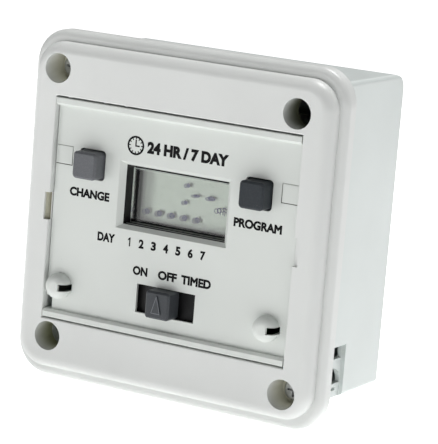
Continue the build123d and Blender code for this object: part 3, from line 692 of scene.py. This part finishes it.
def display_marks():
    """The outlines shown on the display: day dots, colon, dashes and a small mode mark."""
    low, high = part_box("lcd_glass")
    z = (low.z + high.z) / 2
    first_x, below = FIRST_DOT
    outlines = [disc(first_x + i * DOT_PITCH, z + below, DOT_RADIUS) for i in range(DISPLAY_DOTS)]
    for x, above, radius, squeeze in ROUND_MARKS:
        outlines.append(disc(x * MM, z + above * MM, radius * MM, squeeze=squeeze))
    inner, outer = (size * MM for size in MODE_RING)
    outlines += ring_sector(MODE_RING_X * MM, z + MODE_MARK_Z * MM, inner, outer, 0, 1, 20)
    for x in MODE_STEM_XS:
        outlines.append(bar(x * MM, z + MODE_MARK_Z * MM, MODE_STEM[0] * MM, MODE_STEM[1] * MM))
        for out, above, width, height in MODE_ARMS:
            outlines.append(bar((x + out) * MM, z + above * MM, width * MM, height * MM))
    return outlines


def display():
    """The dark marks in the liquid crystal and their fainter shadows on the reflector."""
    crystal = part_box("lcd_glass")[0].y + CRYSTAL_DEPTH
    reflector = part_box("lcd_reflector")[0].y
    dark = printing_ink("display_mark", (44, 48, 112))
    pale = printing_ink("display_shadow", (140, 146, 158))
    marks = display_marks()
    mesh = prisms("display_marks", marks, crystal, INK_THICKNESS)
    add_piece("display_marks", mesh, dark, "enclosure")
    left, down = SHADOW_SHIFT
    shadows = [[(x - left, z - down) for x, z in outline] for outline in marks]
    mesh = prisms("display_shadows", shadows, reflector - 1.5 * INK_THICKNESS, INK_THICKNESS)
    add_piece("display_shadows", mesh, pale, "enclosure")


def display_surround(black):
    """Painted highlights along the window's polished rim and the bead under it, and the dark border below the
    display.
    """
    low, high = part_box("window_lens")
    x, width = (low.x + high.x) / 2, high.x - low.x - LENS_MARGIN
    rim_top = high.z - RIM_TOP_DROP
    # The rim and bead are pale strips of painted highlight.
    edge = lens_edge()
    outlines = [bar(x, low.z + RIM_INSET, width, RIM_LINE), bar(x, rim_top, width, RIM_LINE),
                bar(low.x + RIM_INSET, (low.z + rim_top) / 2, RIM_SIDE_LINE, rim_top - low.z)]
    mesh = prisms("window_lens_rim_highlight", outlines, low.y - RIM_THICKNESS, RIM_THICKNESS)
    add_piece("window_lens_rim_highlight", mesh, edge, "enclosure")
    bead = [bar(x, low.z + BEAD_RISE, width, BEAD_HEIGHT)]
    mesh = prisms("window_bead_highlight", bead, FASCIA_FACE + BEAD_BEHIND_FASCIA, BEAD_THICKNESS)
    add_piece("window_bead_highlight", mesh, edge, "enclosure")
    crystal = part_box("lcd_glass")[0].y + CRYSTAL_DEPTH
    border = [bar(x, low.z + BORDER_RISE, width, BORDER_HEIGHT)]
    mesh = prisms("display_border", border, crystal, INK_THICKNESS)
    add_piece("display_border", mesh, black, "enclosure")


# Mode knob ---------------------------------------------------------------------------------


def stroke(start, end, width):
    """The outline of a straight line of one width between two points."""
    run = Vector(end) - Vector(start)
    side = Vector((-run.y, run.x)).normalized() * width / 2
    return [tuple(Vector(start) - side), tuple(Vector(end) - side),
            tuple(Vector(end) + side), tuple(Vector(start) + side)]


def knob_mark(material):
    """The lighter strokes along the edges of the raised triangle on the mode knob."""
    x, z = middle("mode_knob").x, middle("slider_shutter").z
    left = (x - KNOB_MARK_HALF_WIDTH, z + KNOB_MARK_FOOT)
    right = (x + KNOB_MARK_HALF_WIDTH, z + KNOB_MARK_FOOT)
    top = (x, z + KNOB_MARK_TOP)
    edges = ((left, top), (right, top), (left, right))
    outlines = [stroke(start, end, KNOB_MARK_LINE) for start, end in edges]
    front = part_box("mode_knob")[0].y - INK_THICKNESS / 2
    mesh = prisms("knob_mark_edges", outlines, front, INK_THICKNESS)
    add_piece("knob_mark_edges", mesh, material, "mode_slider")


# Springs -----------------------------------------------------------------------------------


def wound_wire(name, coil_radius, wire_radius, length, turns, dead_turns=1.0):
    """A compression spring along +Z from its foot, with its end turns closed up."""
    sides, steps_per_turn = 10, 28
    steps = int(turns * steps_per_turn)
    free = length - 2 * wire_radius
    dead = dead_turns * 2.05 * wire_radius
    corners, faces = [], []
    for step in range(steps + 1):
        turn = turns * step / steps
        if turn < dead_turns:
            height = dead * turn / dead_turns
        elif turn > turns - dead_turns:
            height = free - dead * (turns - turn) / dead_turns
        else:
            height = dead + (free - 2 * dead) * (turn - dead_turns) / (turns - 2 * dead_turns)
        angle = 2 * math.pi * turn
        out = Vector((math.cos(angle), math.sin(angle), 0))
        centre = out * coil_radius + Vector((0, 0, height + wire_radius))
        for side in range(sides):
            around = 2 * math.pi * side / sides
            corners.append(centre + (out * math.cos(around) + Vector((0, 0, math.sin(around)))) * wire_radius)
    for step in range(steps):
        for side in range(sides):
            a, b = step * sides + side, step * sides + (side + 1) % sides
            faces.append([a, b, b + sides, a + sides])
    faces.append(list(reversed(range(sides))))
    faces.append([steps * sides + side for side in range(sides)])
    return mesh_of(name, corners, faces, smooth=True)


def key_spring(side, steel):
    """The spring under one key."""
    cad = side + "_key_spring"
    low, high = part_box(cad)
    length = high.y - low.y
    coil_radius = (high.x - low.x) / 2 - KEY_SPRING_WIRE
    mesh = wound_wire(cad + "_wire", coil_radius, KEY_SPRING_WIRE, length, KEY_SPRING_TURNS)
    anchor = ((low.x + high.x) / 2, high.y, (low.z + high.z) / 2)
    mesh.transform(Matrix.Translation(anchor) @ Euler((math.radians(90), 0, 0)).to_matrix().to_4x4())
    piece = add_piece(cad + "_wire", mesh, steel, "enclosure")
    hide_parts(cad)
    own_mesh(piece)


def clip_spring(steel):
    """The spring that pushes the rail clip up."""
    low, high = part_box("rail_clip_spring")
    length = high.z - low.z
    coil_radius = (high.x - low.x) / 2 - CLIP_SPRING_WIRE
    mesh = wound_wire("rail_clip_spring_wire", coil_radius, CLIP_SPRING_WIRE, length, CLIP_SPRING_TURNS)
    foot = Vector(((low.x + high.x) / 2, (low.y + high.y) / 2, low.z))
    mesh.transform(Matrix.Translation(foot))
    piece = add_piece("rail_clip_spring_wire", mesh, steel, "enclosure")
    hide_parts("rail_clip_spring")
    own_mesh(piece)


# Stage, lights and camera ------------------------------------------------------------------


def floor(material):
    """A plain pale floor just under the object."""
    size = FLOOR_HALF_SIZE
    z = COVER_BOTTOM - FLOOR_GAP
    corners = [(-size, -size, z), (size, -size, z), (size, size, z), (-size, size, z)]
    mesh = mesh_of("floor", corners, [[0, 1, 2, 3]])
    made = bpy.data.objects.new("floor", mesh)
    mesh.materials.append(material)
    bpy.context.scene.collection.objects.link(made)


def area_light(name, place, aim, size, power):
    """A soft square light at one place, turned to a point."""
    lamp = bpy.data.lights.new(name, "AREA")
    lamp.shape = "SQUARE"
    lamp.size = size
    lamp.energy = power
    made = bpy.data.objects.new(name, lamp)
    bpy.context.scene.collection.objects.link(made)
    made.location = place
    made.rotation_euler = (Vector(aim) - Vector(place)).to_track_quat("-Z", "Y").to_euler()


def white_world(camera_level, light_level):
    """An even white room, brighter to the eye than as a light."""
    world = bpy.data.worlds.new("room")
    world.use_nodes = True
    tree = world.node_tree
    tree.nodes.clear()
    seen = node(tree, "LightPath").outputs["Is Camera Ray"]
    level = spread(tree, seen, light_level, camera_level, 0, 1)
    backdrop = node(tree, "Background", Color=(1, 1, 1, 1), Strength=level)
    output = node(tree, "OutputWorld")
    tree.links.new(backdrop.outputs[0], output.inputs["Surface"])
    bpy.context.scene.world = world


def camera():
    """Looks from the right and a little above, tipped slightly over to the right."""
    turn = (Matrix.Rotation(math.radians(CAMERA_AZIMUTH), 4, "Z")
            @ Matrix.Rotation(math.pi / 2 - math.radians(CAMERA_ELEVATION), 4, "X")
            @ Matrix.Rotation(math.radians(CAMERA_ROLL), 4, "Z"))
    lens = bpy.data.cameras.new("camera")
    lens.sensor_width = CAMERA_SENSOR
    lens.lens = CAMERA_LENS
    lens.clip_start = 0.01
    lens.clip_end = 20
    made = bpy.data.objects.new("camera", lens)
    bpy.context.scene.collection.objects.link(made)
    made.matrix_world = (Matrix.Translation(Vector(CAMERA_AIM)) @ turn
                         @ Matrix.Translation((0, 0, CAMERA_DISTANCE)))
    bpy.context.scene.camera = made


def studio():
    """Floor, lights, room and camera."""
    bpy.context.scene.view_settings.view_transform = "Standard"
    floor(stage_white())
    white_world(ROOM_SEEN, ROOM_LIGHT)
    for name, (place, size, power) in LIGHTS.items():
        area_light(name, place, LIGHT_AIM, size, power)
    camera()


# Making ------------------------------------------------------------------------------------

materials = slot_materials()
paint_nodes(materials)
ink = printing_ink("fascia_ink", (11, 11, 12))
fascia_printing(ink)
heading(ink)
display()
display_surround(materials["black_plastic"])
for side in ("left", "right"):
    key_spring(side, materials["spring_steel"])
clip_spring(materials["spring_steel"])
knob_mark(textured("pale_mark_plastic", (106, 109, 114), 0.45, 0.004, 0.2))
studio()
